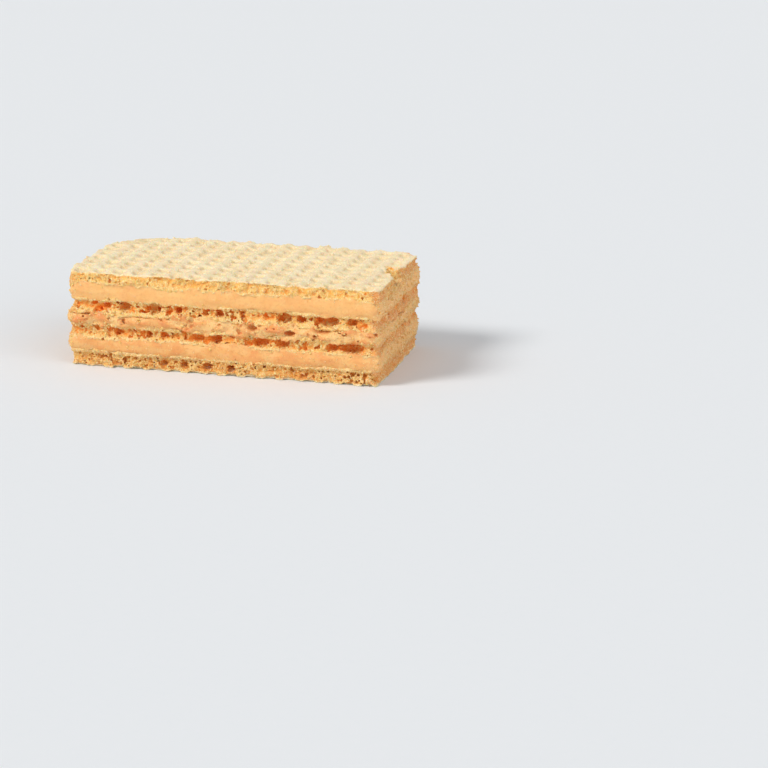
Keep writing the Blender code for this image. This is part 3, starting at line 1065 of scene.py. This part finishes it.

# %% [markdown]
# ## Orange cream
# Cream is fat and sugar: softly shining and slightly see-through at its edges. The upper layer is nearly
# of one colour, the lower one a little stained, and the torn middle one blotched, pale on its lumps and
# redder between them. The two lower layers are a little darker all over, and pits are redder the deeper
# they go: painted shade. Wafer crumbs dust all three near the sheets and at the ends.

# %% The cream material
def cream_material():
    """Cream: stained and lumpy where marked, painted shade on lower layers and in pits, dusty with crumbs.
    """
    recipe = Recipe("orange_cream")
    depth = recipe.mark("depth")
    patches = recipe.noise(2.6, 2.0, shift=3.0)
    grain = recipe.noise(0.2, 2.0, shift=17.0)
    mottle = recipe.noise(0.7, 3.0, shift=7.0)
    stain_and_shade = recipe.mark("stain_and_shade")
    colour = recipe.mix(recipe.step(patches, 0.3, 0.7), linear(249, 193, 122), linear(245, 184, 113))
    colour = recipe.mix(recipe.step(mottle, 0.5, 0.8) * 0.4, colour, linear(252, 208, 144))
    stained = recipe.step(recipe.noise(1.6, 4.0, 0.6, shift=13.0), 0.46, 0.66) * stain_and_shade * 0.65
    colour = recipe.mix(stained, colour, linear(230, 142, 76))
    lump = recipe.mark("lump") + (mottle - 0.5) * 2.0
    colour = recipe.mix(recipe.step(0.0 - lump, 0.4, 1.1) * stain_and_shade * 0.75, colour, linear(228, 134, 80))
    colour = recipe.mix(recipe.step(lump, -0.3, 0.6) * stain_and_shade * 0.85, colour, linear(255, 226, 160))
    flecks = recipe.noise(0.35, 3.0, 0.65, shift=57.0)
    # Painted shade: the two lower creams a little darker all over.
    colour = recipe.mix(recipe.step(stain_and_shade, 0.15, 0.4) * 0.45, colour, linear(228, 160, 92))
    colour = recipe.mix(recipe.step(flecks, 0.5, 0.66) * (stain_and_shade * 0.5 + 0.2), colour, linear(216, 140, 78))
    colour = recipe.mix(recipe.step(grain, 0.55, 0.75) * stain_and_shade * 0.5, colour, linear(255, 226, 166))
    dusty = recipe.mix(recipe.step(grain, 0.4, 0.7), linear(238, 178, 110), linear(252, 208, 146))
    dust = recipe.mark("dust")
    colour = recipe.mix(recipe.step(dust + (mottle - 0.5) * 0.6, 0.3, 0.8) * 0.85, colour, dusty)
    # Redder deeper in the pits: painted shade and bounced light.
    colour = recipe.mix(recipe.step(depth, 0.3, 1.0), colour, linear(240, 128, 56))
    return recipe.finish({
        "Base Color": colour,
        "Roughness": mottle * 0.2 + 0.46 + dust * 0.15,
        "Normal": recipe.bump(grain * (dust + 0.5) + mottle, 0.04, 0.6),
        "Specular IOR Level": 0.35,
        "Subsurface Weight": 0.25,
        "Subsurface Radius": (1.2, 0.5, 0.2),
        "Subsurface Scale": 0.0006,
    })


cream = cream_material()
for layer in creams:
    layer.data.materials.append(cream)

# %% [markdown]
# ## The studio
# White paper on the table, wide enough to fill the view. The light is soft: a wide lamp high on the left
# in front, a weaker one on the right, and a bright room that fills the shadows. Area lamps could do it,
# but sun lamps with a wide angle light the whole cookie alike, wherever they are placed.

# %% Floor and lights
FLOOR_SIDE = 8.0                           # m
FLOOR_MIDDLE = (0.0, 2.0, 0.0)             # m
WIDE_LAMP = (-0.57, -0.52, 0.63)           # the ways towards the lamps
SIDE_LAMP = (0.75, -0.45, 0.45)
LAMP_COLOUR = (1.0, 0.99, 0.97)
ROOM_COLOUR = (0.97, 0.985, 1.0, 1.0)
ROOM_STRENGTH = 0.47


def make_floor():
    """A wide sheet of white paper."""
    bpy.ops.mesh.primitive_plane_add(size=FLOOR_SIDE, location=FLOOR_MIDDLE)
    floor = bpy.context.object
    floor.name = "floor"
    recipe = Recipe("white_paper")
    speck = recipe.noise(1.5, 2.0)
    recipe.finish({
        "Base Color": recipe.mix(speck, linear(232, 235, 238), linear(234, 236, 239)),
        "Roughness": 0.9,
        "Specular IOR Level": 0.1,
    })
    floor.data.materials.append(recipe.material)


def make_lamp(name, source, strength, spread):
    """A far lamp: the way towards it, its strength and how wide it looks, in degrees."""
    data = bpy.data.lights.new(name, "SUN")
    data.energy = strength
    data.angle = math.radians(spread)
    data.color = LAMP_COLOUR
    lamp = bpy.data.objects.new(name, data)
    lamp.rotation_euler = Vector(source).to_track_quat("Z", "Y").to_euler()
    bpy.context.scene.collection.objects.link(lamp)


def make_room():
    """The bright room all round."""
    world = bpy.data.worlds.new("room")
    world.use_nodes = True
    background = world.node_tree.nodes["Background"]
    background.inputs["Color"].default_value = ROOM_COLOUR
    background.inputs["Strength"].default_value = ROOM_STRENGTH
    bpy.context.scene.world = world


make_floor()
make_lamp("wide_lamp", WIDE_LAMP, strength=1.95, spread=20.0)
make_lamp("side_lamp", SIDE_LAMP, strength=0.88, spread=60.0)
make_room()
bpy.context.scene.view_settings.view_transform = "Standard"

# %% [markdown]
# ## The camera
# A long lens looks down a little on the cookie from its front right. It is held with a slight roll. From
# half a metre away the perspective stays gentle, where a short lens close by would stretch the near end.

# %% Camera
SENSOR = 36.0                              # mm
LENS = 146.7                               # mm
CAMERA_PLACE = (127.7, -457.8, 121.1)      # mm
TURN = 12.98                               # degrees round the cookie, from straight in front
DROP = 14.81                               # degrees down
ROLL = 0.91                                # degrees
NEAREST, FARTHEST = 0.01, 20.0             # m, the range that the camera sees


def make_camera():
    """The camera, with its roll."""
    data = bpy.data.cameras.new("camera")
    data.sensor_width = SENSOR
    data.lens = LENS
    data.clip_start, data.clip_end = NEAREST, FARTHEST
    camera = bpy.data.objects.new("camera", data)
    turn = Matrix.Rotation(math.radians(TURN), 4, "Z")
    drop = Matrix.Rotation(math.radians(90 - DROP), 4, "X")
    roll = Matrix.Rotation(math.radians(ROLL), 4, "Z")
    camera.matrix_world = Matrix.Translation(Vector(CAMERA_PLACE) * MM) @ turn @ drop @ roll
    bpy.context.scene.collection.objects.link(camera)
    bpy.context.scene.camera = camera


make_camera()
